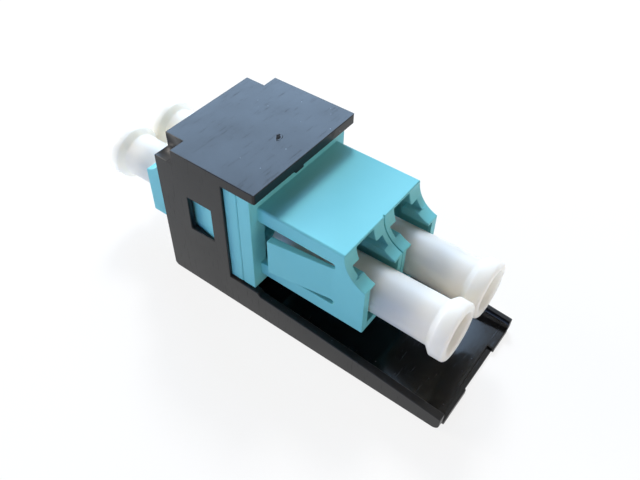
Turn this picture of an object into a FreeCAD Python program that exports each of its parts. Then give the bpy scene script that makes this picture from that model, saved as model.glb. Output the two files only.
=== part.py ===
import FreeCAD, Part
import os
from types import SimpleNamespace
import Sketcher
from FreeCAD import Placement, Rotation, Vector

# Duplex fibre adapter clipped into its carrier, with a dust cap in each of the four ports.
# Millimetres. X runs across the two ports, Y from the front ports (-Y) to the rear ones (+Y),
# Z is up. The origin lies on the carrier's underside, below the adapter's weld seam.

SIZES = [
    # the adapter's body and collar
    ("bodyWidth", 13.0, "outside width of the adapter's body"),
    ("bodyHeight", 9.4, "outside height of the adapter's body"),
    ("bodyBottom", 5.38, "body's underside above the carrier's underside"),
    ("halfLength", 14.15, "from the weld seam to the tips of the port walls"),
    ("scoopRadius", 3.36, "radius of the hollow front edge of the port walls"),
    ("scoopAhead", 0.9, "axis of that hollow in front of the tips"),
    ("scoopDrop", 0.2, "axis of that hollow below the roof"),
    ("edgeBevel", 0.15, "bevel along the body's long edges"),
    ("collarWidth", 15.2, "width of the welded collar"),
    ("collarThick", 1.6, "thickness of each half's collar"),
    ("collarBelow", 1.34, "how far the collar reaches below the body"),
    ("collarAbove", 1.62, "how far the collar reaches above the body"),
    ("seamBevel", 0.07, "bevel at the weld seam"),
    # the ports
    ("portPitch", 6.25, "distance between the two port axes"),
    ("axisRise", 3.27, "port axis above the body's underside"),
    ("portWidth", 4.9, "width of the square plug way"),
    ("ledgeWidth", 3.35, "width between the two ledges"),
    ("ledgeThick", 0.95, "thickness of the ledges"),
    ("toothRise", 4.36, "underside of the latch teeth above the port axis"),
    ("leverWidth", 2.8, "width of the latch lever's way between the teeth"),
    ("leverRoof", 0.35, "roof left above the lever's way"),
    ("toothLength", 3.1, "length of the teeth and ledges from the tips inwards"),
    ("chamberRoof", 0.8, "thickness of the roof behind the teeth"),
    ("webThick", 0.5, "each half's share of the wall that carries the sleeve holders"),
    ("grooveWidth", 0.14, "width of the line down the middle wall"),
    ("grooveDepth", 0.2, "depth of that line"),
    # the sleeve holders and the split sleeves
    ("sleeveBore", 1.25, "inside diameter of the ceramic sleeve"),
    ("sleeveWall", 0.19, "wall of the ceramic sleeve"),
    ("sleeveLength", 6.8, "length of the ceramic sleeve"),
    ("sleeveSlit", 0.3, "width of the sleeve's slit"),
    ("sleeveFit", 0.04, "radial clearance round the sleeve"),
    ("sleeveEndFit", 0.05, "clearance at each end of the sleeve"),
    ("holderWall", 0.6, "wall of the sleeve holder"),
    ("lipDepth", 0.5, "thickness of the holder's end lip"),
    ("lipStep", 0.1, "how far the lip stands in front of the sleeve's wall"),
    ("lipFlare", 0.25, "how far the lip opens out towards its free face"),
    # the latch tongues
    ("tongueRise", 2.47, "tongue's lower edge above the body's underside"),
    ("tongueHeight", 4.45, "height of the latch tongue"),
    ("tongueThick", 0.88, "thickness of the latch tongue"),
    ("tongueRoot", 10.4, "from the seam to the tongue's root"),
    ("tongueTip", 3.5, "from the seam to the tongue's free end"),
    ("tongueProud", 1.05, "how far the free end stands out of the body's side"),
    ("slotWidth", 0.7, "width of the slots above and below the tongue"),
    # the carrier
    ("sideGap", 0.335, "collar's side inside the carrier's side"),
    ("plateThick", 1.15, "thickness of the top plate"),
    ("plateGap", 0.29, "clearance between collar and top plate"),
    ("plateOverhang", 1.0, "top plate in front of the collar"),
    ("shellLength", 8.8, "length of the tunnel behind the collar"),
    ("tunnelFit", 0.08, "clearance round the body in the tunnel"),
    ("notchWidth", 1.83, "width of the notches in the shell's upper rear corners"),
    ("notchLength", 2.42, "length of those notches"),
    ("notchDepth", 1.7, "depth of those notches"),
    ("windowSeat", 0.13, "clearance at the tongue's free end in its window"),
    ("windowLength", 3.2, "length of the latch window"),
    ("windowSill", 0.34, "window's lower edge above the tongue's"),
    ("windowHead", 0.23, "window's upper edge above the tongue's"),
    ("reliefFit", 0.12, "clearance round the leaning tongue in its relief"),
    ("shelfThick", 1.2, "thickness of the shelf under the body"),
    ("floorThick", 0.7, "thickness of the floor"),
    ("trayLength", 24.5, "from the seam to the tray's front"),
    ("sillGap", 0.13, "collar above the side walls' sill"),
    ("sillLead", 0.5, "sill in front of the collar"),
    ("sillStep", 0.4, "step down in front of the sill"),
    ("frontWall", 1.87, "height of the tray's walls at the front"),
    ("wallCrown", 380.0, "radius of the tray walls' top edge"),
    ("leftWall", 0.85, "thickness of the tray's left wall"),
    ("rightWall", 0.55, "thickness of the tray's right wall"),
    ("rightInset", 0.9, "tray's right wall inside the shell's side"),
    ("wallSetback", 0.15, "left tray wall's front end behind the floor's front edge"),
    ("trayCorner", 0.7, "radius of the tray walls' lower front corners"),
    ("rabbetWidth", 6.0, "width of the rabbet in the floor's front edge"),
    ("rabbetOffset", 0.28, "middle of the rabbet right of the seam's middle"),
    ("rabbetLength", 0.75, "length of that rabbet"),
    ("rabbetDepth", 0.35, "depth of that rabbet"),
    ("rabbetSetback", 0.2, "floor's front edge set back at the rabbet"),
    ("nubWidth", 1.25, "width of the nub under the plate's front edge"),
    ("nubOffset", 1.2, "middle of the nub left of the seam's middle"),
    ("nubDepth", 0.3, "height of the nub"),
    ("nubLength", 0.6, "length of the nub"),
    ("heelBevel", 0.3, "bevel at the shell's lower rear edge"),
    # the dust caps
    ("capFit", 0.2, "radial clearance of the cap's inner end in its port"),
    ("capDraft", 0.18, "growth of the cap's radius up to its flange"),
    ("capLength", 20.5, "overall length of a cap"),
    ("flangeRadius", 3.06, "radius of the cap's flange"),
    ("rimLength", 1.5, "length of the flange's rim"),
    ("flareLength", 0.65, "length of the cone behind the rim"),
    ("rimWall", 0.9, "wall of the flange's rim"),
    ("rimBevel", 0.2, "bevel along the rim's two edges"),
    ("recessDepth", 3.4, "depth of the recess in the flange"),
    ("recessFloor", 1.5, "radius of that recess at its floor"),
    ("capMembrane", 0.9, "wall between the recess and the bore"),
    ("capBoreFit", 0.1, "radial clearance round the sleeve holder"),
    ("frontCapRest", 1.94, "inner end of the front caps from the seam"),
    ("rearCapRest", 0.8, "inner end of the rear caps from the seam"),
]


class Size:
    """A number that keeps the sheet expression it comes from."""

    def __init__(self, value, text=None):
        self.value = float(value)
        self.text = text or repr(self.value)

    def join(self, sign, other, value):
        return Size(value, "(%s %s %s)" % (self.text, sign, other.text))

    def __add__(self, other):
        other = asSize(other)
        return self.join("+", other, self.value + other.value)

    def __sub__(self, other):
        other = asSize(other)
        return self.join("-", other, self.value - other.value)

    def __mul__(self, other):
        other = asSize(other)
        return self.join("*", other, self.value * other.value)

    def __truediv__(self, other):
        other = asSize(other)
        return self.join("/", other, self.value / other.value)

    def __neg__(self):
        return Size(-self.value, "(0 - %s)" % self.text)


def asSize(number):
    return number if isinstance(number, Size) else Size(number)


def fillSheet():
    """Writes the driving sizes, one row each: name, number, what it measures."""
    sheet = doc.addObject("Spreadsheet::Sheet", "Sizes")
    for row, (alias, value, note) in enumerate(SIZES, start=1):
        sheet.set("A%d" % row, alias)
        sheet.set("B%d" % row, str(value))
        sheet.setAlias("B%d" % row, alias)
        sheet.set("C%d" % row, note)
    doc.recompute()
    return SimpleNamespace(**{alias: Size(value, "Sizes." + alias) for alias, value, note in SIZES})


doc = FreeCAD.newDocument("FibreAdapter")
size = fillSheet()

# Places that several pieces share.
zero = Size(0)
bodySide = size.bodyWidth / 2
bodyTop = size.bodyBottom + size.bodyHeight
portX = size.portPitch / 2
portSide = size.portWidth / 2
axisHeight = size.bodyBottom + size.axisRise
collarBottom = size.bodyBottom - size.collarBelow
collarTop = bodyTop + size.collarAbove
tongueBottom = size.bodyBottom + size.tongueRise
tongueTop = tongueBottom + size.tongueHeight
holderBore = size.sleeveBore / 2 + size.sleeveWall + size.sleeveFit
holderRadius = holderBore + size.holderWall
shellSide = size.collarWidth / 2 + size.sideGap
shellEnd = size.collarThick + size.shellLength
tunnelSide = bodySide + size.tunnelFit
plateBottom = collarTop + size.plateGap
plateTop = plateBottom + size.plateThick


# ---- helpers ----

def newBody(name):
    body = doc.addObject("PartDesign::Body", name)
    body.Label = name
    return body


def newSketch(body, name, role, offset=None, rise=None):
    """A sketch on one of the body's origin planes, moved along its normal and up by two sizes."""
    sketch = body.newObject("Sketcher::SketchObject", name)
    plane = [item for item in body.Origin.OriginFeatures if item.Role == role][0]
    sketch.AttachmentSupport = (plane, [""])
    sketch.MapMode = "FlatFace"
    shift = {"y": rise or zero, "z": offset or zero}
    sketch.AttachmentOffset = Placement(Vector(0, shift["y"].value, shift["z"].value), Rotation())
    for axis, distance in shift.items():
        sketch.setExpression("AttachmentOffset.Base." + axis, distance.text)
    return sketch


def pin(sketch, geometry, end, x, y):
    """Holds a line's end or a circle's centre at a place given by two sizes."""
    for kind, place in (("DistanceX", asSize(x)), ("DistanceY", asSize(y))):
        rule = Sketcher.Constraint(kind, -1, 1, geometry, end, place.value)
        index = sketch.addConstraint(rule)
        sketch.setExpression("Constraints[%d]" % index, place.text)


def drawOutline(sketch, corners, crown=None):
    """A closed outline through corners. Its last side is an arc if a crown radius is given."""
    points = [Vector(asSize(x).value, asSize(y).value, 0) for x, y in corners]
    count = len(points)
    first = sketch.GeometryCount
    for index in range(count):
        following = points[(index + 1) % count]
        if crown is not None and index == count - 1:
            sketch.addGeometry(arcBetween(points[index], following, crown.value), False)
        else:
            sketch.addGeometry(Part.LineSegment(points[index], following), False)
    for index in range(count - 1):
        joint = Sketcher.Constraint("Coincident", first + index, 2, first + index + 1, 1)
        sketch.addConstraint(joint)
    sketch.addConstraint(Sketcher.Constraint("Coincident", first + count - 1, 2, first, 1))
    for index in range(count):
        pin(sketch, first + index, 1, *corners[index])
    if crown is not None:
        arc = first + count - 1
        index = sketch.addConstraint(Sketcher.Constraint("Radius", arc, crown.value))
        sketch.setExpression("Constraints[%d]" % index, crown.text)


def arcBetween(start, end, radius):
    """The short arc of that radius that runs anticlockwise from start to end."""
    middle = (start + end) / 2
    half = (end - start) / 2
    rise = (radius ** 2 - half.Length ** 2) ** 0.5
    centre = middle + Vector(-half.y, half.x, 0) / half.Length * rise
    through = centre + (middle - centre).normalize() * radius
    return Part.Arc(start, through, end)


def drawBox(sketch, left, right, low, high):
    drawOutline(sketch, [(left, low), (right, low), (right, high), (left, high)])


def drawCircle(sketch, x, y, radius):
    middle = Vector(asSize(x).value, asSize(y).value, 0)
    circle = sketch.addGeometry(Part.Circle(middle, Vector(0, 0, 1), radius.value), False)
    pin(sketch, circle, 3, x, y)
    index = sketch.addConstraint(Sketcher.Constraint("Radius", circle, radius.value))
    sketch.setExpression("Constraints[%d]" % index, radius.text)


def extrude(body, kind, sketch, length, reverse=False, centred=False):
    """A Pad or a Pocket of the sketch. It compares volumes, so one that does nothing is caught."""
    before = body.Shape.Volume if body.Tip else 0.0
    feature = body.newObject("PartDesign::" + kind, sketch.Label + kind)
    feature.Profile = sketch
    feature.Length = length.value
    feature.setExpression("Length", length.text)
    feature.SideType = "Symmetric" if centred else "One side"
    feature.Reversed = reverse
    doc.recompute()
    change = body.Shape.Volume - before
    if abs(change) < 1e-6 or (change > 0) != (kind == "Pad"):
        raise RuntimeError("%s in %s does nothing" % (feature.Label, body.Label))
    return feature


def turn(body, kind, sketch):
    """A Revolution or a Groove of the sketch, all the way round its horizontal axis."""
    feature = body.newObject("PartDesign::" + kind, sketch.Label + kind)
    feature.Profile = sketch
    feature.ReferenceAxis = (sketch, ["H_Axis"])
    feature.Angle = 360
    doc.recompute()
    return feature


def dress(body, kind, name, amount, chosen):
    """A Fillet or a Chamfer on the edges of the body so far that chosen picks."""
    base = body.Tip
    edges = ["Edge%d" % number for number, edge in enumerate(base.Shape.Edges, start=1) if chosen(edge)]
    feature = body.newObject("PartDesign::" + kind, name)
    feature.Base = (base, edges)
    prop = "Radius" if kind == "Fillet" else "Size"
    feature.setExpression(prop, amount.text)
    doc.recompute()
    return feature


def spans(edge, axis, **places):
    """True for a straight edge along axis whose other coordinates are at the given places."""
    box = edge.BoundBox
    low = {"x": box.XMin, "y": box.YMin, "z": box.ZMin}
    high = {"x": box.XMax, "y": box.YMax, "z": box.ZMax}
    if high[axis] - low[axis] < 1e-4:
        return False
    if any(high[key] - low[key] > 1e-4 for key in "xyz" if key != axis):
        return False
    return all(abs(low[key] - asSize(place).value) < 1e-4 for key, place in places.items())


def liesAt(edge, distance):
    """True for an edge that lies wholly in the plane Y = distance."""
    box = edge.BoundBox
    return abs(box.YMin - distance.value) < 1e-4 and box.YLength < 1e-4


# ---- the two halves of the adapter ----

def buildHalf(name):
    """One moulded half, its ports facing -Y and its weld face at Y = 0."""
    body = newBody(name)
    padBlock(body)
    padCollar(body)
    for side in (-1, 1):
        cutPort(body, side)
        addHolder(body, side)
    cutGroove(body)
    for side in (-1, 1):
        addTongue(body, side)
    return body


def padBlock(body):
    """The body's outer block, with the hollow front edge of its walls."""
    block = newSketch(body, "Block", "XZ_Plane")
    drawBox(block, -bodySide, bodySide, size.bodyBottom, bodyTop)
    extrude(body, "Pad", block, size.halfLength)
    dress(body, "Chamfer", "EdgeBevel", size.edgeBevel, lambda edge: spans(edge, "y"))
    scoop = newSketch(body, "Scoop", "YZ_Plane")
    scoopY = -(size.halfLength + size.scoopAhead)
    drawCircle(scoop, scoopY, bodyTop - size.scoopDrop, size.scoopRadius)
    extrude(body, "Pocket", scoop, size.bodyWidth, centred=True)


def padCollar(body):
    collar = newSketch(body, "Collar", "XZ_Plane")
    side = size.collarWidth / 2
    drawBox(collar, -side, side, collarBottom, collarTop)
    extrude(body, "Pad", collar, size.collarThick)
    dress(body, "Chamfer", "SeamBevel", size.seamBevel, lambda edge: liesAt(edge, zero))


def cutPort(body, side):
    """The plug way with its ledges and latch teeth, and the chamber behind the teeth.

    The ledge on the middle wall runs on through the chamber. The outer one ends with the tooth.
    """
    tag = "Left" if side < 0 else "Right"
    middle = portX * side
    ledge = size.ledgeWidth / 2
    lever = size.leverWidth / 2
    ledgeBottom = axisHeight + portSide
    ledgeTop = ledgeBottom + size.ledgeThick
    toothBottom = axisHeight + size.toothRise
    leverTop = bodyTop - size.leverRoof
    halfOutline = [
        (portSide, axisHeight - portSide),
        (portSide, ledgeBottom),
        (ledge, ledgeBottom),
        (ledge, ledgeTop),
        (portSide, ledgeTop),
        (portSide, toothBottom),
        (lever, toothBottom),
        (lever, leverTop),
    ]
    outline = [(middle + x, z) for x, z in halfOutline]
    outline += [(middle - x, z) for x, z in reversed(halfOutline)]
    way = newSketch(body, tag + "Way", "XZ_Plane", size.halfLength)
    drawOutline(way, outline)
    extrude(body, "Pocket", way, size.halfLength - size.webThick)
    chamberFront = size.halfLength - size.toothLength
    chamberTop = bodyTop - size.chamberRoof
    outer = middle + portSide * side
    inner = middle - portSide * side
    shoulder = middle - ledge * side
    chamber = newSketch(body, tag + "Chamber", "XZ_Plane", chamberFront)
    drawOutline(chamber, [
        (outer, axisHeight),
        (shoulder, axisHeight),
        (shoulder, ledgeTop),
        (inner, ledgeTop),
        (inner, chamberTop),
        (outer, chamberTop),
    ])
    extrude(body, "Pocket", chamber, chamberFront - size.webThick)


def addHolder(body, side):
    """The tube that holds one end of a sleeve. Its flared lip keeps the sleeve in."""
    tag = "Left" if side < 0 else "Right"
    middle = portX * side
    boreEnd = -(size.sleeveLength / 2 + size.sleeveEndFit)
    holderEnd = boreEnd - size.lipDepth
    lipRadius = holderBore - size.sleeveFit - size.lipStep
    holder = newSketch(body, tag + "Holder", "XZ_Plane")
    drawCircle(holder, middle, axisHeight, holderRadius)
    extrude(body, "Pad", holder, -holderEnd)
    hollow = newSketch(body, tag + "Hollow", "YZ_Plane", middle, axisHeight)
    drawOutline(hollow, [
        (zero, zero),
        (zero, holderBore),
        (boreEnd, holderBore),
        (boreEnd, lipRadius),
        (holderEnd, lipRadius + size.lipFlare),
        (holderEnd, zero),
    ])
    turn(body, "Groove", hollow)


def cutGroove(body):
    """The fine line down the front of the middle wall."""
    scoopY = -(size.halfLength + size.scoopAhead)
    arc = newSketch(body, "GrooveArc", "YZ_Plane")
    drawCircle(arc, scoopY, bodyTop - size.scoopDrop, size.scoopRadius + size.grooveDepth)
    extrude(body, "Pocket", arc, size.grooveWidth, centred=True)
    line = newSketch(body, "GrooveLine", "YZ_Plane")
    drawBox(line, -size.halfLength, -size.halfLength + size.grooveDepth, size.bodyBottom, bodyTop)
    extrude(body, "Pocket", line, size.grooveWidth, centred=True)


def addTongue(body, side):
    """A latch tongue cut free from the side wall, rooted at the front and leaning outwards."""
    tag = "Left" if side < 0 else "Right"
    wall = bodySide - portX - portSide
    slotBottom = tongueBottom - size.slotWidth
    slotTop = tongueTop + size.slotWidth
    opening = newSketch(body, tag + "Opening", "YZ_Plane", bodySide * side)
    drawBox(opening, -size.tongueRoot, -size.collarThick, slotBottom, slotTop)
    extrude(body, "Pocket", opening, wall, reverse=side < 0)
    for place, height in (("Lower", slotBottom), ("Upper", tongueTop)):
        end = newSketch(body, tag + place + "End", "YZ_Plane", bodySide * side)
        radius = size.slotWidth / 2
        drawCircle(end, -size.tongueRoot, height + radius, radius)
        extrude(body, "Pocket", end, wall, reverse=side < 0)
    outer = bodySide * side
    inner = (bodySide - size.tongueThick) * side
    lean = size.tongueProud * side
    tongue = newSketch(body, tag + "Tongue", "XY_Plane", tongueBottom)
    corners = [
        (outer, -size.tongueRoot),
        (outer + lean, -size.tongueTip),
        (inner + lean, -size.tongueTip),
        (inner, -size.tongueRoot),
    ]
    drawOutline(tongue, corners)
    extrude(body, "Pad", tongue, size.tongueHeight)


# ---- split sleeves ----

def buildSleeve(name, side):
    """A ceramic tube with a slit along its top, centred on a port axis."""
    body = newBody(name)
    ring = newSketch(body, "Ring", "XZ_Plane")
    bore = size.sleeveBore / 2
    drawCircle(ring, zero, zero, bore + size.sleeveWall)
    drawCircle(ring, zero, zero, bore)
    extrude(body, "Pad", ring, size.sleeveLength, centred=True)
    slit = newSketch(body, "Slit", "XY_Plane")
    half = size.sleeveSlit / 2
    drawBox(slit, -half, half, -size.sleeveLength, size.sleeveLength)
    extrude(body, "Pocket", slit, size.sleeveBore, reverse=True)
    place(body, portX * side, zero, axisHeight)
    return body


def place(body, x, y, z):
    for axis, distance in (("x", x), ("y", y), ("z", z)):
        body.setExpression("Placement.Base." + axis, distance.text)
    doc.recompute()


# ---- dust caps ----

def buildCap(name, side, rest, rear):
    """A turned-looking moulded cap. It is drawn with its inner end at Y = 0, pointing to -Y."""
    body = newBody(name)
    tip = portSide - size.capFit
    barrelEnd = -(size.capLength - size.rimLength - size.flareLength)
    rimStart = -(size.capLength - size.rimLength)
    recessEnd = -(size.capLength - size.recessDepth)
    boreRadius = holderRadius + size.capBoreFit
    profile = newSketch(body, "Profile", "YZ_Plane")
    drawOutline(profile, [
        (zero, boreRadius),
        (zero, tip),
        (barrelEnd, tip + size.capDraft),
        (rimStart, size.flangeRadius),
        (-size.capLength, size.flangeRadius),
        (-size.capLength, size.flangeRadius - size.rimWall),
        (recessEnd, size.recessFloor),
        (recessEnd, zero),
        (recessEnd + size.capMembrane, zero),
        (recessEnd + size.capMembrane, boreRadius),
    ])
    turn(body, "Revolution", profile)
    dress(body, "Chamfer", "RimBevel", size.rimBevel, lambda edge: liesAt(edge, -size.capLength))
    if rear:
        body.Placement = Placement(Vector(), Rotation(Vector(0, 0, 1), 180))
    place(body, portX * side, rest, axisHeight)
    return body


# ---- carrier ----

def buildCarrier():
    """The snap-in frame: a tunnel behind the collar, a top plate over it and a tray in front."""
    body = newBody("carrier")
    padTrayWalls(body)
    padShell(body)
    padFloor(body)
    padPlate(body)
    cutTunnel(body)
    for side in (-1, 1):
        cutWindow(body, side)
        cutNotch(body, side)
    cutRabbet(body)
    return body


def padTrayWalls(body):
    """The two low side walls, crowned along the top and rounded at their lower front corners."""
    sill = collarBottom - size.sillGap
    sillFront = -(size.collarThick + size.sillLead)
    stepFront = sillFront - size.sillStep
    rightOuter = shellSide - size.rightInset
    for tag, outer, thick, front, reverse in (
        ("LeftWall", -shellSide, size.leftWall, size.wallSetback - size.trayLength, False),
        ("RightWall", rightOuter, size.rightWall, -size.trayLength, True),
    ):
        wall = newSketch(body, tag, "YZ_Plane", outer)
        drawOutline(wall, [
            (front, size.frontWall),
            (front, zero),
            (size.collarThick, zero),
            (size.collarThick, sill),
            (sillFront, sill),
            (stepFront, sill - size.sillStep),
        ], size.wallCrown)
        extrude(body, "Pad", wall, thick, reverse=reverse)
        corner = lambda edge: spans(edge, "x", y=front, z=zero)
        dress(body, "Fillet", tag + "Corner", size.trayCorner, corner)


def padShell(body):
    shell = newSketch(body, "Shell", "XZ_Plane", -size.collarThick)
    drawBox(shell, -shellSide, shellSide, zero, plateTop)
    extrude(body, "Pad", shell, size.shellLength, reverse=True)
    dress(body, "Chamfer", "Heel", size.heelBevel, lambda edge: spans(edge, "x", y=shellEnd, z=zero))


def padFloor(body):
    base = newSketch(body, "Base", "XY_Plane")
    left = -shellSide + size.leftWall
    right = shellSide - size.rightInset - size.rightWall
    drawBox(base, left, right, -size.trayLength, size.collarThick)
    extrude(body, "Pad", base, size.floorThick)


def padPlate(body):
    """The plate's front part and the nub that hangs from its front edge."""
    front = -(size.collarThick + size.plateOverhang)
    plate = newSketch(body, "Plate", "XY_Plane", plateBottom)
    drawBox(plate, -shellSide, shellSide, front, size.collarThick)
    extrude(body, "Pad", plate, size.plateThick)
    nub = newSketch(body, "Nub", "XY_Plane", plateBottom)
    half = size.nubWidth / 2
    drawBox(nub, -size.nubOffset - half, -size.nubOffset + half, front, front + size.nubLength)
    extrude(body, "Pad", nub, size.nubDepth, reverse=True)


def cutTunnel(body):
    """The way for the adapter's rear half, and the open channel below its shelf."""
    shelfTop = size.bodyBottom - size.tunnelFit
    tunnel = newSketch(body, "Tunnel", "XZ_Plane", -size.collarThick)
    drawBox(tunnel, -tunnelSide, tunnelSide, shelfTop, bodyTop + size.tunnelFit)
    extrude(body, "Pocket", tunnel, size.shellLength)
    channel = newSketch(body, "Channel", "XZ_Plane", -size.collarThick)
    drawBox(channel, -tunnelSide, tunnelSide, size.floorThick, shelfTop - size.shelfThick)
    extrude(body, "Pocket", channel, size.shellLength)


def cutWindow(body, side):
    """The window that the tongue snaps into, and the relief for the tongue's leaning root."""
    tag = "Left" if side < 0 else "Right"
    front = size.tongueTip - size.windowSeat
    window = newSketch(body, tag + "Window", "YZ_Plane", shellSide * side)
    sill = tongueBottom + size.windowSill
    drawBox(window, front, front + size.windowLength, sill, tongueTop + size.windowHead)
    extrude(body, "Pocket", window, shellSide - tunnelSide, reverse=side < 0)
    relief = newSketch(body, tag + "Relief", "XY_Plane", tongueTop + size.reliefFit)
    root = (bodySide + size.reliefFit) * side
    drawOutline(relief, [
        (bodySide * side, front),
        (root + size.tongueProud * side, front),
        (root, size.tongueRoot),
        (bodySide * side, size.tongueRoot),
    ])
    extrude(body, "Pocket", relief, size.tongueHeight + size.reliefFit * 2)


def cutNotch(body, side):
    tag = "Left" if side < 0 else "Right"
    notch = newSketch(body, tag + "Notch", "XY_Plane", plateTop)
    outer = shellSide * side
    inner = (shellSide - size.notchWidth) * side
    drawBox(notch, inner, outer, shellEnd - size.notchLength, shellEnd)
    extrude(body, "Pocket", notch, size.notchDepth)


def cutRabbet(body):
    """The lowered and set-back middle of the floor's front edge."""
    left = size.rabbetOffset - size.rabbetWidth / 2
    right = size.rabbetOffset + size.rabbetWidth / 2
    front = -size.trayLength
    top = newSketch(body, "RabbetTop", "XY_Plane", size.floorThick)
    drawBox(top, left, right, front, front + size.rabbetLength)
    extrude(body, "Pocket", top, size.rabbetDepth)
    edge = newSketch(body, "RabbetEdge", "XY_Plane", size.floorThick)
    drawBox(edge, left, right, front, front + size.rabbetSetback)
    extrude(body, "Pocket", edge, size.floorThick)


# ---- build, check and write ----

def buildAll():
    pieces = [buildCarrier()]
    pieces.append(buildHalf("adapter_front_half"))
    rearHalf = buildHalf("adapter_rear_half")
    rearHalf.Placement = Placement(Vector(), Rotation(Vector(0, 0, 1), 180))
    pieces.append(rearHalf)
    for tag, side in (("left", -1), ("right", 1)):
        pieces.append(buildSleeve(tag + "_split_sleeve", side))
        pieces.append(buildCap("front_%s_dust_cap" % tag, side, -size.frontCapRest, False))
        pieces.append(buildCap("rear_%s_dust_cap" % tag, side, size.rearCapRest, True))
    doc.recompute()
    return pieces


def checkAll(pieces):
    for item in doc.Objects:
        if "Invalid" in item.State or "Error" in item.State:
            raise RuntimeError("%s is in state %s" % (item.Label, item.State))
    for piece in pieces:
        shape = piece.Shape
        if shape.isNull() or not shape.isValid() or len(shape.Solids) != 1:
            raise RuntimeError("%s has no sound single solid" % piece.Label)


def writeAll(pieces):
    os.makedirs("parts", exist_ok=True)
    for piece in pieces:
        piece.Shape.exportStep("parts/%s.step" % piece.Label)
        print("%-22s %9.3f mm3" % (piece.Label, piece.Shape.Volume))


pieces = buildAll()
checkAll(pieces)
writeAll(pieces)
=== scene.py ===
import math
import bpy
import bmesh
from mathutils import Matrix, Vector


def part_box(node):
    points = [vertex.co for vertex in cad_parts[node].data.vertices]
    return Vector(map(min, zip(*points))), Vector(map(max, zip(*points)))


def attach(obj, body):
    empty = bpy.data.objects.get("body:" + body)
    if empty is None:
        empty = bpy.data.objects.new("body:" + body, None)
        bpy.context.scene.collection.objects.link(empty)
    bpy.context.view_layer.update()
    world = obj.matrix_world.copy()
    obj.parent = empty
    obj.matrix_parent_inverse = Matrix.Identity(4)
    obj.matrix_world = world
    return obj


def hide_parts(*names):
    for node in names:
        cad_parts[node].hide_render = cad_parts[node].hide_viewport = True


# A duplex fibre adapter clipped into its black carrier, with four milky dust caps.
# Metres. +X right seen from the front ports, +Y towards the rear ports, +Z up.

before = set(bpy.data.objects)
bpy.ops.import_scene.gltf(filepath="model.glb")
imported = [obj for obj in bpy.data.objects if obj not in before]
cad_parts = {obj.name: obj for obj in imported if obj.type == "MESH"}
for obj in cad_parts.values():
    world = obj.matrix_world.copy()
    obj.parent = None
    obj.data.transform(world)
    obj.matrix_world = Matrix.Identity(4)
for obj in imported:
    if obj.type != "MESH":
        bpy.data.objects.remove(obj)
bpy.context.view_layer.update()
mm = 0.001
print("frame loaded:", len(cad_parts), "nodes")


# small helpers

def hexToLinear(code):
    channels = [int(code[place:place + 2], 16) / 255 for place in (0, 2, 4)]
    linear = [c / 12.92 if c <= 0.04045 else ((c + 0.055) / 1.055) ** 2.4 for c in channels]
    return (*linear, 1.0)


def addNode(tree, kind, settings=None, inputs=None, links=None):
    # settings are node properties, inputs are socket values, links are (socket, source output)
    node = tree.nodes.new(kind)
    for key, value in (settings or {}).items():
        setattr(node, key, value)
    for key, value in (inputs or {}).items():
        node.inputs[key].default_value = value
    for key, source in (links or {}).items():
        tree.links.new(source, node.inputs[key])
    return node


def newMaterial(name):
    material = bpy.data.materials.new(name)
    material.use_nodes = True
    material.node_tree.nodes.clear()
    return material, material.node_tree


def newObject(name, mesh):
    piece = bpy.data.objects.new(name, mesh)
    bpy.context.scene.collection.objects.link(piece)
    return piece


def claim(piece, body, slot, *nodes):
    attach(piece, body)
    if nodes:
        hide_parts(*nodes)
    return piece


# materials

absLook = {
    "colour": "0b0c0e",       # black ABS
    "dust": "5a6066",
    "roughness": 0.32,
    "trayRoughness": 0.12,    # the tray's inside comes off a polished part of the mould
    "tornRoughness": 0.85,    # where the gate was broken off
    "uneven": 0.05,           # how far the roughness strays either way, in clouds this wide
    "cloudMm": 5.0,
    "cloudFrom": 0.3,         # the part of the clouds' noise that is spread over that stray
    "cloudFull": 0.7,
    "ior": 1.53,
    "specular": 0.3,          # carbon black at the skin takes the edge off its gloss
    "grainMm": 0.35,          # orange peel of the mould, and how strongly it shows
    "grain": 0.08,
    "grainDepthMm": 0.02,
    "scratchMm": 2.2,         # width of the noise that rub marks are cut from, and its stretch
    "scratchTurn": (0.2, 0.1, 0.9),
    "scratchStretch": 14.0,
    "scratchFrom": 0.62,      # only peaks of the noise above these become marks
    "scratchFull": 0.70,
    "scratchRoughness": 0.16,
    "speckMm": 0.9,           # spacing of dust specks, coarser than real ones so that they show
    "speckInner": 0.05,       # shares of that spacing between which a speck fades out
    "speckOuter": 0.09,
    "speckless": 0.6,         # share of the cells that hold no speck
}


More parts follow.
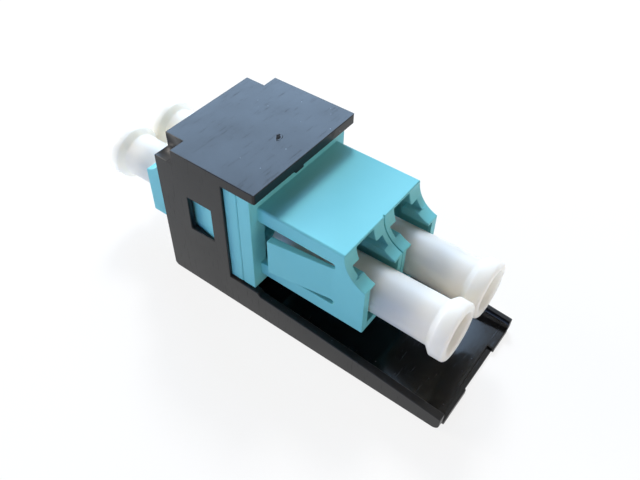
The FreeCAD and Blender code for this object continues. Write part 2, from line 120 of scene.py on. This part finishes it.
def makeBlackAbs(name, roughness):
    # injection-moulded black ABS: near-black body, broad even sheen, fine rub marks, dust specks
    look = absLook
    material, tree = newMaterial(name)
    place = addNode(tree, "ShaderNodeTexCoord").outputs["Object"]
    grain = addNode(tree, "ShaderNodeTexNoise",
                    inputs={"Scale": 1 / (look["grainMm"] * mm), "Detail": 3.0},
                    links={"Vector": place})
    cloud = addNode(tree, "ShaderNodeTexNoise",
                    inputs={"Scale": 1 / (look["cloudMm"] * mm), "Detail": 4.0},
                    links={"Vector": place})
    rough = addNode(tree, "ShaderNodeMapRange",
                    inputs={"From Min": look["cloudFrom"], "From Max": look["cloudFull"],
                            "To Min": roughness - look["uneven"],
                            "To Max": roughness + look["uneven"]},
                    links={"Value": cloud.outputs["Fac"]})
    # rub marks: noise drawn out along a slant, cut off so that only its peaks are left
    slant = addNode(tree, "ShaderNodeMapping",
                    inputs={"Rotation": look["scratchTurn"],
                            "Scale": (1.0, look["scratchStretch"], 1.0)},
                    links={"Vector": place})
    streak = addNode(tree, "ShaderNodeTexNoise",
                     inputs={"Scale": 1 / (look["scratchMm"] * mm), "Detail": 2.0},
                     links={"Vector": slant.outputs["Vector"]})
    rub = addNode(tree, "ShaderNodeMapRange",
                  inputs={"From Min": look["scratchFrom"], "From Max": look["scratchFull"],
                          "To Max": look["scratchRoughness"]},
                  links={"Value": streak.outputs["Fac"]})
    dulled = addNode(tree, "ShaderNodeMath", {"operation": "ADD"},
                     links={0: rough.outputs["Result"], 1: rub.outputs["Result"]})
    # dust: small dots in some of the cells of a Voronoi pattern
    cells = addNode(tree, "ShaderNodeTexVoronoi", inputs={"Scale": 1 / (look["speckMm"] * mm)},
                    links={"Vector": place})
    dot = addNode(tree, "ShaderNodeMapRange",
                  inputs={"From Min": look["speckInner"], "From Max": look["speckOuter"],
                          "To Min": 1.0, "To Max": 0.0},
                  links={"Value": cells.outputs["Distance"]})
    pick = addNode(tree, "ShaderNodeSeparateColor", links={"Color": cells.outputs["Color"]})
    chosen = addNode(tree, "ShaderNodeMath", {"operation": "GREATER_THAN"}, {1: look["speckless"]},
                     {0: pick.outputs["Red"]})
    speck = addNode(tree, "ShaderNodeMath", {"operation": "MULTIPLY"},
                    links={0: dot.outputs["Result"], 1: chosen.outputs["Value"]})
    skin = addNode(tree, "ShaderNodeMix", {"data_type": "RGBA"},
                   {6: hexToLinear(look["colour"]), 7: hexToLinear(look["dust"])},
                   {0: speck.outputs["Value"]})
    bump = addNode(tree, "ShaderNodeBump",
                   inputs={"Strength": look["grain"], "Distance": look["grainDepthMm"] * mm},
                   links={"Height": grain.outputs["Fac"]})
    shader = addNode(tree, "ShaderNodeBsdfPrincipled",
                     inputs={"IOR": look["ior"], "Specular IOR Level": look["specular"]},
                     links={"Base Color": skin.outputs[2], "Roughness": dulled.outputs["Value"],
                            "Normal": bump.outputs["Normal"]})
    addNode(tree, "ShaderNodeOutputMaterial", links={"Surface": shader.outputs["BSDF"]})
    return material


pbtLook = {
    "colour": "7ac9d1",       # aqua PBT
    "shade": "72c3cc",        # where the melt flowed slower
    "cloudMm": 4.0,
    "roughness": 0.44,
    "specular": 0.22,         # pigmented skin, duller than its refraction alone would give
    "ior": 1.55,
    "grainMm": 0.3,
    "grain": 0.05,
    "grainDepthMm": 0.02,
}


def makeAquaPbt():
    # injection-moulded aqua PBT: even colour, slight flow clouding, semi-gloss skin
    look = pbtLook
    material, tree = newMaterial("mouldedAquaPbt")
    place = addNode(tree, "ShaderNodeTexCoord").outputs["Object"]
    cloud = addNode(tree, "ShaderNodeTexNoise",
                    inputs={"Scale": 1 / (look["cloudMm"] * mm), "Detail": 3.0},
                    links={"Vector": place})
    grain = addNode(tree, "ShaderNodeTexNoise",
                    inputs={"Scale": 1 / (look["grainMm"] * mm), "Detail": 3.0},
                    links={"Vector": place})
    skin = addNode(tree, "ShaderNodeMix", {"data_type": "RGBA"},
                   {6: hexToLinear(look["shade"]), 7: hexToLinear(look["colour"])},
                   {0: cloud.outputs["Fac"]})
    bump = addNode(tree, "ShaderNodeBump",
                   inputs={"Strength": look["grain"], "Distance": look["grainDepthMm"] * mm},
                   links={"Height": grain.outputs["Fac"]})
    shader = addNode(tree, "ShaderNodeBsdfPrincipled",
                     inputs={"Roughness": look["roughness"], "IOR": look["ior"],
                             "Specular IOR Level": look["specular"]},
                     links={"Base Color": skin.outputs[2], "Normal": bump.outputs["Normal"]})
    addNode(tree, "ShaderNodeOutputMaterial", links={"Surface": shader.outputs["BSDF"]})
    return material


ldpeLook = {
    "colour": "f0e8dc",       # natural LDPE, milky
    "shade": "ebe2d4",
    "cloudMm": 2.5,
    "roughness": 0.42,
    "ior": 1.51,
    "scatter": 0.9,           # how much light goes in under the skin, and how far
    "depthMm": 4.0,
    "depthByColour": (1.0, 0.95, 0.85),
    "wave": 0.12,             # slow waves in the skin, and their depth
    "waveDepthMm": 0.05,
}


def makeMilkyLdpe():
    # moulded natural LDPE: milky, waxy, lets light in at thin rims
    look = ldpeLook
    material, tree = newMaterial("mouldedMilkyLdpe")
    place = addNode(tree, "ShaderNodeTexCoord").outputs["Object"]
    cloud = addNode(tree, "ShaderNodeTexNoise",
                    inputs={"Scale": 1 / (look["cloudMm"] * mm), "Detail": 3.0},
                    links={"Vector": place})
    skin = addNode(tree, "ShaderNodeMix", {"data_type": "RGBA"},
                   {6: hexToLinear(look["shade"]), 7: hexToLinear(look["colour"])},
                   {0: cloud.outputs["Fac"]})
    bump = addNode(tree, "ShaderNodeBump",
                   inputs={"Strength": look["wave"], "Distance": look["waveDepthMm"] * mm},
                   links={"Height": cloud.outputs["Fac"]})
    shader = addNode(tree, "ShaderNodeBsdfPrincipled",
                     inputs={"Roughness": look["roughness"], "IOR": look["ior"],
                             "Subsurface Weight": look["scatter"],
                             "Subsurface Scale": look["depthMm"] * mm,
                             "Subsurface Radius": look["depthByColour"]},
                     links={"Base Color": skin.outputs[2], "Normal": bump.outputs["Normal"]})
    addNode(tree, "ShaderNodeOutputMaterial", links={"Surface": shader.outputs["BSDF"]})
    return material


zirconiaLook = {
    "colour": "f4f2ec",       # ivory white
    "shade": "ece9e0",
    "cloudMm": 1.5,
    "roughness": 0.12,
    "ior": 2.1,
}


def makeZirconia():
    # sintered and polished zirconia: ivory white, glassy skin
    look = zirconiaLook
    material, tree = newMaterial("polishedZirconia")
    place = addNode(tree, "ShaderNodeTexCoord").outputs["Object"]
    cloud = addNode(tree, "ShaderNodeTexNoise",
                    inputs={"Scale": 1 / (look["cloudMm"] * mm), "Detail": 2.0},
                    links={"Vector": place})
    skin = addNode(tree, "ShaderNodeMix", {"data_type": "RGBA"},
                   {6: hexToLinear(look["shade"]), 7: hexToLinear(look["colour"])},
                   {0: cloud.outputs["Fac"]})
    shader = addNode(tree, "ShaderNodeBsdfPrincipled",
                     inputs={"Roughness": look["roughness"], "IOR": look["ior"]},
                     links={"Base Color": skin.outputs[2]})
    addNode(tree, "ShaderNodeOutputMaterial", links={"Surface": shader.outputs["BSDF"]})
    return material


blackAbs = makeBlackAbs("mouldedBlackAbs", absLook["roughness"])
polishedAbs = makeBlackAbs("polishedBlackAbs", absLook["trayRoughness"])
tornAbs = makeBlackAbs("tornBlackAbs", absLook["tornRoughness"])
aquaPbt = makeAquaPbt()
milkyLdpe = makeMilkyLdpe()
zirconia = makeZirconia()
print("materials made")


# mouldings: the CAD form with its outer edges softened as a mould softens them

mouldLook = {
    "mergeMm": 0.0005,
    "flatDegrees": 0.6,       # facets that meet at less than this are one flat face
    "cornerDegrees": 28,      # edges sharper than this are corners
    "plainShare": 0.3,        # share of the full rounding on corners that no rule picks
    "segments": 3,
}


def softMesh(node):
    # a merged copy of a CAD node's mesh, its flat faces whole
    mesh = bmesh.new()
    mesh.from_mesh(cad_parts[node].data)
    bmesh.ops.remove_doubles(mesh, verts=mesh.verts, dist=mouldLook["mergeMm"] * mm)
    bmesh.ops.dissolve_limit(mesh, angle_limit=math.radians(mouldLook["flatDegrees"]),
                             verts=mesh.verts, edges=mesh.edges)
    return mesh


def keepFlat(piece):
    # shades each flat face flat, so that only the roundings catch the light
    normals = piece.modifiers.new("flatFaces", "WEIGHTED_NORMAL")
    normals.keep_sharp = True


def finishMesh(mesh, name, materials, widthMm, isRound=None, isPolished=None):
    # bevels the outward edges; where isRound picks an edge, the bevel has its full width
    weights = mesh.edges.layers.float.new("bevel_weight_edge")
    cornerAngle = math.radians(mouldLook["cornerDegrees"])
    for edge in mesh.edges:
        corner = len(edge.link_faces) == 2 and edge.calc_face_angle(0) > cornerAngle
        if corner and edge.is_convex:
            edge[weights] = 1.0 if isRound is None or isRound(edge) else mouldLook["plainShare"]
        edge.smooth = not corner or edge.is_convex
    for face in mesh.faces:
        face.smooth = True
        face.material_index = 1 if isPolished and isPolished(face) else 0
    data = bpy.data.meshes.new(name)
    mesh.to_mesh(data)
    mesh.free()
    for material in materials:
        data.materials.append(material)
    piece = newObject(name, data)
    bevel = piece.modifiers.new("softEdges", "BEVEL")
    bevel.limit_method = "WEIGHT"
    bevel.width = widthMm * mm
    bevel.segments = mouldLook["segments"]
    bevel.use_clamp_overlap = False
    keepFlat(piece)
    return piece


carrierLook = {
    "cornerMm": 0.28,         # rounding of the plate's upright front corners
    "plateMm": 16.69,         # underside of the top plate
    "plateSlackMm": 0.1,
    "plateThinMm": 0.9,       # its upright edges are longer than this
    "plateFrontMm": -2.0,     # its front corners lie in front of this
    "wallTopMm": 5.5,         # the polished tray lies below this and in front of the collar
    "floorTopMm": 1.2,
    "collarMm": -1.7,
    "facing": 0.9,            # how squarely the tray's inner faces look up or inwards
    "slackMm": 0.01,
}


def makeCarrier():
    look = carrierLook
    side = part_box("carrier")[1][0] - look["slackMm"] * mm

    def isPlateCorner(edge):
        ends = [vert.co for vert in edge.verts]
        upright = (abs(ends[0].z - ends[1].z) > look["plateThinMm"] * mm
                   and (ends[0].xy - ends[1].xy).length < look["slackMm"] * mm)
        onPlate = min(end.z for end in ends) > (look["plateMm"] - look["plateSlackMm"]) * mm
        atFront = abs(ends[0].x) > side and ends[0].y < look["plateFrontMm"] * mm
        return upright and onPlate and atFront

    def isTrayInside(face):
        middle = face.calc_center_median()
        inside = middle.y < look["collarMm"] * mm and middle.z < look["wallTopMm"] * mm
        up = face.normal.z > look["facing"] and middle.z < look["floorTopMm"] * mm
        inward = abs(face.normal.x) > look["facing"] and face.normal.x * middle.x < 0
        return inside and (up or inward)

    return finishMesh(softMesh("carrier"), "carrierShell", [blackAbs, polishedAbs],
                      look["cornerMm"], isPlateCorner, isTrayInside)


halfLook = {
    "edgeMm": 0.08,
    "sideMm": 6.5,            # the body's side, and its wall there
    "wallMm": 0.88,
    "rootMm": 10.4,           # the tongue's root, from the weld seam
    "rootThickMm": 0.45,      # the tongue thins out towards its root, so that it flexes there
    "slackMm": 0.01,
}


def makeHalf(node, name):
    # the CAD half with its latch tongues thinned at the root
    look = halfLook
    mesh = softMesh(node)
    slack = look["slackMm"] * mm
    innerFace = (look["sideMm"] - look["wallMm"]) * mm
    thinFace = (look["sideMm"] - look["rootThickMm"]) * mm
    for vert in mesh.verts:
        atRoot = abs(abs(vert.co.y) - look["rootMm"] * mm) < slack
        if atRoot and abs(abs(vert.co.x) - innerFace) < slack:
            vert.co.x = math.copysign(thinFace, vert.co.x)
    return finishMesh(mesh, name, [aquaPbt], look["edgeMm"])


claim(makeCarrier(), "adapter", "carrier", "carrier")
for node, name in (("adapter_front_half", "frontHalf"), ("adapter_rear_half", "rearHalf")):
    claim(makeHalf(node, name), "adapter", "adapter", node)
for node in ("left_split_sleeve", "right_split_sleeve"):
    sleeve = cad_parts[node]
    sleeve.data.materials.clear()
    sleeve.data.materials.append(zirconia)
print("mouldings made")


# dust caps: one turned profile, spun by a node tree and set in each port

capLook = {
    "tip": 2.25,              # all in mm; radii first
    "barrelEnd": 2.43,
    "flange": 3.06,
    "rimInner": 2.16,
    "recessFloor": 1.5,
    "bore": 1.555,
    "rimLength": 1.5,         # then lengths along the axis
    "flareLength": 0.65,
    "recessDepth": 3.4,
    "membrane": 0.9,
    "lip": 0.34,              # roundings
    "waist": 0.25,
    "tipRound": 0.15,
    "boreRound": 0.15,
    "mouthRound": 0.12,
    "floorRound": 0.25,
    "arcSteps": 4,
    "facets": 96,
    "circle": 1.0,            # the profile is spun round a circle of this radius
    "wave": 0.012,            # how far the soft moulding strays from round, and over how long
    "waveLength": 3.0,
    "merge": 0.002,
}


def roundedLine(corners):
    # corners are (x, y, radius); a corner with a radius becomes an arc
    points = []
    count = len(corners)
    for index, (x, y, radius) in enumerate(corners):
        here = Vector((x, y))
        if radius == 0 or index in (0, count - 1):
            points.append(here)
            continue
        back = (Vector(corners[index - 1][:2]) - here).normalized()
        ahead = (Vector(corners[index + 1][:2]) - here).normalized()
        half = back.angle(ahead) / 2
        centre = here + (back + ahead).normalized() * (radius / math.sin(half))
        start = here + back * (radius / math.tan(half)) - centre
        end = here + ahead * (radius / math.tan(half)) - centre
        for step in range(capLook["arcSteps"] + 1):
            spoke = start.slerp(end, step / capLook["arcSteps"])
            points.append(centre + spoke.normalized() * radius)
    return points


def capProfile(length):
    # from the axis in the bore, round the inner end, along the barrel, over the rim to the recess
    look = capLook
    rimStart = length - look["rimLength"]
    recess = length - look["recessDepth"]
    return roundedLine([
        (0, recess - look["membrane"], 0),
        (look["bore"], recess - look["membrane"], look["boreRound"]),
        (look["bore"], 0, look["mouthRound"]),
        (look["tip"], 0, look["tipRound"]),
        (look["barrelEnd"], rimStart - look["flareLength"], look["waist"]),
        (look["flange"], rimStart, look["waist"]),
        (look["flange"], length, look["lip"]),
        (look["rimInner"], length, look["lip"]),
        (look["recessFloor"], recess, look["floorRound"]),
        (0, recess, 0),
    ])


def makeLatheTree(material):
    # spins the profile round a small circle; the profile's x is the distance from that circle
    tree = bpy.data.node_groups.new("latheCap", "GeometryNodeTree")
    tree.interface.new_socket("Profile", in_out="INPUT", socket_type="NodeSocketGeometry")
    for name, kind in (("Facets", "NodeSocketInt"), ("Circle Radius", "NodeSocketFloat"),
                       ("Wave", "NodeSocketFloat"), ("Turn", "NodeSocketFloat"),
                       ("Place", "NodeSocketVector")):
        tree.interface.new_socket(name, in_out="INPUT", socket_type=kind)
    tree.interface.new_socket("Cap", in_out="OUTPUT", socket_type="NodeSocketGeometry")
    given = addNode(tree, "NodeGroupInput")
    profile = addNode(tree, "GeometryNodeMeshToCurve", links={"Mesh": given.outputs["Profile"]})
    circle = addNode(tree, "GeometryNodeCurvePrimitiveCircle",
                     links={"Resolution": given.outputs["Facets"],
                            "Radius": given.outputs["Circle Radius"]})
    level = addNode(tree, "GeometryNodeSetCurveNormal", {"mode": "Z_UP"},
                    links={"Curve": circle.outputs["Curve"]})
    spun = addNode(tree, "GeometryNodeCurveToMesh",
                   links={"Curve": level.outputs["Curve"],
                          "Profile Curve": profile.outputs["Curve"]})
    closed = addNode(tree, "GeometryNodeMergeByDistance",
                     inputs={"Distance": capLook["merge"] * mm},
                     links={"Geometry": spun.outputs["Mesh"]})
    # a soft moulding is never quite round: a slow noise pushes its skin in and out
    noise = addNode(tree, "ShaderNodeTexNoise",
                    inputs={"Scale": 1 / (capLook["waveLength"] * mm), "Detail": 1.0})
    centred = addNode(tree, "ShaderNodeMath", {"operation": "SUBTRACT"}, {1: 0.5},
                      {0: noise.outputs["Fac"]})
    push = addNode(tree, "ShaderNodeMath", {"operation": "MULTIPLY"},
                   links={0: centred.outputs["Value"], 1: given.outputs["Wave"]})
    normal = addNode(tree, "GeometryNodeInputNormal")
    offset = addNode(tree, "ShaderNodeVectorMath", {"operation": "SCALE"},
                     links={0: normal.outputs["Normal"], "Scale": push.outputs["Value"]})
    waved = addNode(tree, "GeometryNodeSetPosition",
                    links={"Geometry": closed.outputs["Geometry"],
                           "Offset": offset.outputs["Vector"]})
    angles = addNode(tree, "ShaderNodeCombineXYZ", links={"X": given.outputs["Turn"]})
    placed = addNode(tree, "GeometryNodeTransform",
                     links={"Geometry": waved.outputs["Geometry"],
                            "Rotation": angles.outputs["Vector"],
                            "Translation": given.outputs["Place"]})
    smooth = addNode(tree, "GeometryNodeSetShadeSmooth",
                     links={"Geometry": placed.outputs["Geometry"]})
    real = addNode(tree, "GeometryNodeRealizeInstances",
                   links={"Geometry": smooth.outputs["Geometry"]})
    dressed = addNode(tree, "GeometryNodeSetMaterial", inputs={"Material": material},
                      links={"Geometry": real.outputs["Geometry"]})
    addNode(tree, "NodeGroupOutput", links={"Cap": dressed.outputs["Geometry"]})
    return tree


def growMesh(name, source, tree, values):
    # runs a node tree on a source mesh and gives back a plain object with the result
    host = newObject(name + "Source", source)
    modifier = host.modifiers.new(tree.name, "NODES")
    modifier.node_group = tree
    for item in tree.interface.items_tree:
        if item.in_out == "INPUT" and item.name in values:
            modifier[item.identifier] = values[item.name]
    evaluated = host.evaluated_get(bpy.context.evaluated_depsgraph_get())
    data = bpy.data.meshes.new_from_object(evaluated)
    data.name = name
    bpy.data.objects.remove(host)
    tidy = bmesh.new()
    tidy.from_mesh(data)
    bmesh.ops.recalc_face_normals(tidy, faces=tidy.faces)
    tidy.to_mesh(data)
    tidy.free()
    return newObject(name, data)


def makeCap(node, name, tree):
    low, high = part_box(node)
    isFront = low[1] + high[1] < 0
    length = (high[1] - low[1]) / mm
    circle = capLook["circle"]
    points = [((x - circle) * mm, y * mm, 0) for x, y in capProfile(length)]
    source = bpy.data.meshes.new(name + "Profile")
    source.from_pydata(points, [(index, index + 1) for index in range(len(points) - 1)], [])
    place = ((low[0] + high[0]) / 2, high[1] if isFront else low[1], (low[2] + high[2]) / 2)
    cap = growMesh(name, source, tree, {
        "Facets": capLook["facets"], "Circle Radius": circle * mm, "Wave": capLook["wave"] * mm,
        "Turn": -math.pi / 2 if isFront else math.pi / 2, "Place": place})
    keepFlat(cap)
    return cap


latheTree = makeLatheTree(milkyLdpe)
for row in ("front", "rear"):
    for side in ("left", "right"):
        node = row + "_" + side + "_dust_cap"
        cap = makeCap(node, row + side.capitalize() + "Cap", latheTree)
        claim(cap, row + "_" + side + "_cap", "cap", node)
print("caps made")


# weld flash: a thin bead squeezed out along the collar's seam, with a lump here and there

flashLook = {
    "bead": 0.028,            # mm: radius of the bead, and how much its lumps add
    "lump": 0.075,
    "lumpFrom": 0.58,         # only peaks of a noise above these are lumps
    "lumpFull": 0.72,
    "lumpSpacing": 1.3,
    "step": 0.08,
    "facets": 10,
    "inset": 0.03,            # the bead's axis inside the collar's side, and short of its ends
    "endInset": 0.2,
}


def makeFlashTree(material):
    # a round bead along each edge of the path, thicker where a slow noise peaks
    tree = bpy.data.node_groups.new("weldFlash", "GeometryNodeTree")
    tree.interface.new_socket("Path", in_out="INPUT", socket_type="NodeSocketGeometry")
    for name in ("Bead", "Lump", "Step", "Spacing"):
        tree.interface.new_socket(name, in_out="INPUT", socket_type="NodeSocketFloat")
    tree.interface.new_socket("Flash", in_out="OUTPUT", socket_type="NodeSocketGeometry")
    given = addNode(tree, "NodeGroupInput")
    path = addNode(tree, "GeometryNodeMeshToCurve", links={"Mesh": given.outputs["Path"]})
    fine = addNode(tree, "GeometryNodeResampleCurve", {"mode": "LENGTH"},
                   links={"Curve": path.outputs["Curve"], "Length": given.outputs["Step"]})
    scale = addNode(tree, "ShaderNodeMath", {"operation": "DIVIDE"}, {0: 1.0},
                    {1: given.outputs["Spacing"]})
    noise = addNode(tree, "ShaderNodeTexNoise", inputs={"Detail": 2.0},
                    links={"Scale": scale.outputs["Value"]})
    peak = addNode(tree, "ShaderNodeMapRange",
                   inputs={"From Min": flashLook["lumpFrom"], "From Max": flashLook["lumpFull"]},
                   links={"Value": noise.outputs["Fac"], "To Max": given.outputs["Lump"]})
    radius = addNode(tree, "ShaderNodeMath", {"operation": "ADD"},
                     links={0: peak.outputs["Result"], 1: given.outputs["Bead"]})
    section = addNode(tree, "GeometryNodeCurvePrimitiveCircle",
                      inputs={"Resolution": flashLook["facets"], "Radius": 1.0})
    bead = addNode(tree, "GeometryNodeCurveToMesh", inputs={"Fill Caps": True},
                   links={"Curve": fine.outputs["Curve"],
                          "Profile Curve": section.outputs["Curve"],
                          "Scale": radius.outputs["Value"]})
    smooth = addNode(tree, "GeometryNodeSetShadeSmooth", links={"Geometry": bead.outputs["Mesh"]})
    real = addNode(tree, "GeometryNodeRealizeInstances",
                   links={"Geometry": smooth.outputs["Geometry"]})
    dressed = addNode(tree, "GeometryNodeSetMaterial", inputs={"Material": material},
                      links={"Geometry": real.outputs["Geometry"]})
    addNode(tree, "NodeGroupOutput", links={"Flash": dressed.outputs["Geometry"]})
    return tree


def makeFlash():
    low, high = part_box("adapter_front_half")
    side = high[0] - flashLook["inset"] * mm
    source = bpy.data.meshes.new("seamPath")
    short = flashLook["endInset"] * mm
    ends = [(x, 0, z) for x in (-side, side) for z in (low[2] + short, high[2] - short)]
    source.from_pydata(ends, [(0, 1), (2, 3)], [])
    return growMesh("weldFlash", source, makeFlashTree(aquaPbt), {
        "Bead": flashLook["bead"] * mm, "Lump": flashLook["lump"] * mm,
        "Step": flashLook["step"] * mm, "Spacing": flashLook["lumpSpacing"] * mm})


claim(makeFlash(), "adapter", "adapter")
print("weld flash made")


# gate mark: the torn stub where the carrier's mould was fed, in a low ring on the top plate

gateLook = {
    "place": (0.1, 1.0),      # mm
    "length": 0.55,           # half lengths of the ring
    "width": 0.32,
    "turn": 25,
    "points": 28,
    # share of the half lengths, and height in mm
    "ring": ((1.0, 0.0), (0.86, 0.012), (0.72, 0.004), (0.45, 0.006)),
    "stub": ((0.30, 0.034), (0.12, 0.0272)),
    # waves that make the outline ragged: how many, their twist from ring to ring, their size
    "ragged": ((3, 5, 0.14), (7, 0, 0.08)),
    "stubShift": -0.07,       # the stub is off centre
    "slope": 0.3,             # and torn to a slope
    "shinySteps": 12,         # beyond this point the ring's crest keeps the plate's sheen
}


def makeGateMark():
    look = gateLook
    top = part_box("carrier")[1][2]
    mesh = bmesh.new()
    turn = math.radians(look["turn"])
    rows = []
    for reach, height in look["ring"] + look["stub"]:
        isStub = (reach, height) in look["stub"]
        row = []
        for step in range(look["points"]):
            angle = step / look["points"] * math.tau
            ragged = 1 + sum(size * math.sin(count * angle + twist * reach)
                             for count, twist, size in look["ragged"])
            x = look["length"] * reach * ragged * math.cos(angle)
            x += look["stubShift"] if isStub else 0
            y = look["width"] * reach * ragged * math.sin(angle)
            tilt = 1 - look["slope"] + look["slope"] * math.sin(angle + 1) if isStub else 1
            row.append(mesh.verts.new((
                (look["place"][0] + x * math.cos(turn) - y * math.sin(turn)) * mm,
                (look["place"][1] + x * math.sin(turn) + y * math.cos(turn)) * mm,
                top + height * tilt * mm)))
        rows.append(row)
    for ring, (outer, inner) in enumerate(zip(rows, rows[1:])):
        for step in range(look["points"]):
            after = (step + 1) % look["points"]
            face = mesh.faces.new((outer[step], outer[after], inner[after], inner[step]))
            face.material_index = 0 if ring in (1, 2) and step > look["shinySteps"] else 1
    mesh.faces.new(rows[-1]).material_index = 1
    mesh.faces.new(list(reversed(rows[0])))
    for face in mesh.faces:
        face.smooth = len(face.verts) == 4
    data = bpy.data.meshes.new("gateMark")
    mesh.to_mesh(data)
    mesh.free()
    data.materials.append(blackAbs)
    data.materials.append(tornAbs)
    return newObject("gateMark", data)


claim(makeGateMark(), "adapter", "carrier")
print("gate mark made")


# camera

cameraLook = {
    "place": (-40.091, -33.222, 58.802),   # mm
    "azimuth": -54.19,        # degrees
    "elevation": 46.47,
    "roll": 1.44,
    "lensMm": 37.96,
    "sensorMm": 36,
    "clip": (0.001, 20),      # metres
}


def makeCamera():
    azimuth = math.radians(cameraLook["azimuth"])
    elevation = math.radians(cameraLook["elevation"])
    roll = math.radians(cameraLook["roll"])
    right = Vector((math.cos(azimuth), math.sin(azimuth), 0))
    back = Vector((math.sin(azimuth) * math.cos(elevation),
                   -math.cos(azimuth) * math.cos(elevation), math.sin(elevation)))
    up = back.cross(right)
    cameraX = math.cos(roll) * right + math.sin(roll) * up
    cameraY = -math.sin(roll) * right + math.cos(roll) * up
    turn = Matrix((cameraX, cameraY, back)).transposed()
    data = bpy.data.cameras.new("productCamera")
    data.sensor_width = cameraLook["sensorMm"]
    data.lens = cameraLook["lensMm"]
    data.clip_start, data.clip_end = cameraLook["clip"]
    camera = newObject("productCamera", data)
    camera.matrix_world = Matrix.Translation(Vector(cameraLook["place"]) * mm) @ turn.to_4x4()
    bpy.context.scene.camera = camera


makeCamera()
print("camera placed")


# stage and light

stageLook = {
    "paper": "f4f4f4",
    "floorShare": 0.85,       # share of plain white in the floor as seen; the rest takes shadows
    "floorReach": 3.0,        # metres, as is the gap under the object
    "floorGap": 0.00002,
    "room": "fafff0",
    "roomStrength": 0.11,
    "aim": (0, -0.003, 0.009),
}

lampLook = {
    # direction, then distance and width in metres, brightness and colour
    "keyLight": ((0.56, 0.40, 0.73), 0.5, 0.10, 78.0, "efebe6"),
    "windowLight": ((0.60, 0.46, 0.65), 0.5, 0.39, 6.8, "b0d6ff"),
    "leftLight": ((-0.90, 0.25, 0.10), 0.6, 0.5, 2.3, "7cb0ff"),
    "frontLight": ((-0.05, -0.95, 0.15), 0.6, 0.5, 2.7, "ffeee2"),
    "rearLight": ((-0.30, 0.90, 0.33), 0.5, 0.3, 7.0, "fff8f0"),
}


def addSeenRays(tree, share):
    # share, on rays that show the background: straight, mirrored or through a clear body
    path = addNode(tree, "ShaderNodeLightPath")
    direct = addNode(tree, "ShaderNodeMath", {"operation": "MAXIMUM"},
                     links={0: path.outputs["Is Camera Ray"], 1: path.outputs["Is Glossy Ray"]})
    seen = addNode(tree, "ShaderNodeMath", {"operation": "MAXIMUM"},
                   links={0: direct.outputs["Value"], 1: path.outputs["Is Transmission Ray"]})
    part = addNode(tree, "ShaderNodeMath", {"operation": "MULTIPLY"}, {1: share},
                   {0: seen.outputs["Value"]})
    return part.outputs["Value"]


def makeFloor():
    # pale paper sweep that reads as white to the camera and still takes the object's shadow
    material, tree = newMaterial("paleSweep")
    glow = addNode(tree, "ShaderNodeEmission", inputs={"Color": (1, 1, 1, 1), "Strength": 1.0})
    paper = addNode(tree, "ShaderNodeBsdfDiffuse",
                    inputs={"Color": hexToLinear(stageLook["paper"])})
    mixed = addNode(tree, "ShaderNodeMixShader",
                    links={0: addSeenRays(tree, stageLook["floorShare"]), 1: paper.outputs["BSDF"],
                           2: glow.outputs["Emission"]})
    addNode(tree, "ShaderNodeOutputMaterial", links={"Surface": mixed.outputs["Shader"]})
    data = bpy.data.meshes.new("floor")
    reach = stageLook["floorReach"]
    corners = [(-reach, -reach, 0), (reach, -reach, 0), (reach, reach, 0), (-reach, reach, 0)]
    data.from_pydata(corners, [], [(0, 1, 2, 3)])
    data.materials.append(material)
    floor = newObject("floor", data)
    floor.location.z = -stageLook["floorGap"]


def makeWorld():
    # a dim room for the fill, seen as plain white
    world = bpy.data.worlds.new("studio")
    world.use_nodes = True
    tree = world.node_tree
    tree.nodes.clear()
    white = addNode(tree, "ShaderNodeBackground", inputs={"Color": (1, 1, 1, 1), "Strength": 1.0})
    room = addNode(tree, "ShaderNodeBackground",
                   inputs={"Color": hexToLinear(stageLook["room"]),
                           "Strength": stageLook["roomStrength"]})
    mixed = addNode(tree, "ShaderNodeMixShader",
                    links={0: addSeenRays(tree, 1.0), 1: room.outputs["Background"],
                           2: white.outputs["Background"]})
    addNode(tree, "ShaderNodeOutputWorld", links={"Surface": mixed.outputs["Shader"]})
    bpy.context.scene.world = world


def addSoftbox(name, towards, distance, size, strength, colour):
    # a round area light that faces the object from the given direction; strength is its brightness
    data = bpy.data.lights.new(name, "AREA")
    data.shape = "DISK"
    data.size = size
    data.energy = strength * math.pi * math.pi * (size / 2) ** 2
    data.color = hexToLinear(colour)[:3]
    light = newObject(name, data)
    way = Vector(towards).normalized()
    light.location = Vector(stageLook["aim"]) + way * distance
    light.rotation_euler = way.to_track_quat("Z", "Y").to_euler()
    return light


makeFloor()
makeWorld()
lamps = {name: addSoftbox(name, *values) for name, values in lampLook.items()}
# the window gives the sheen, the key only the light on the body and the shadow's edge
lamps["keyLight"].visible_glossy = False
bpy.context.scene.view_settings.view_transform = "Standard"
print("stage made")
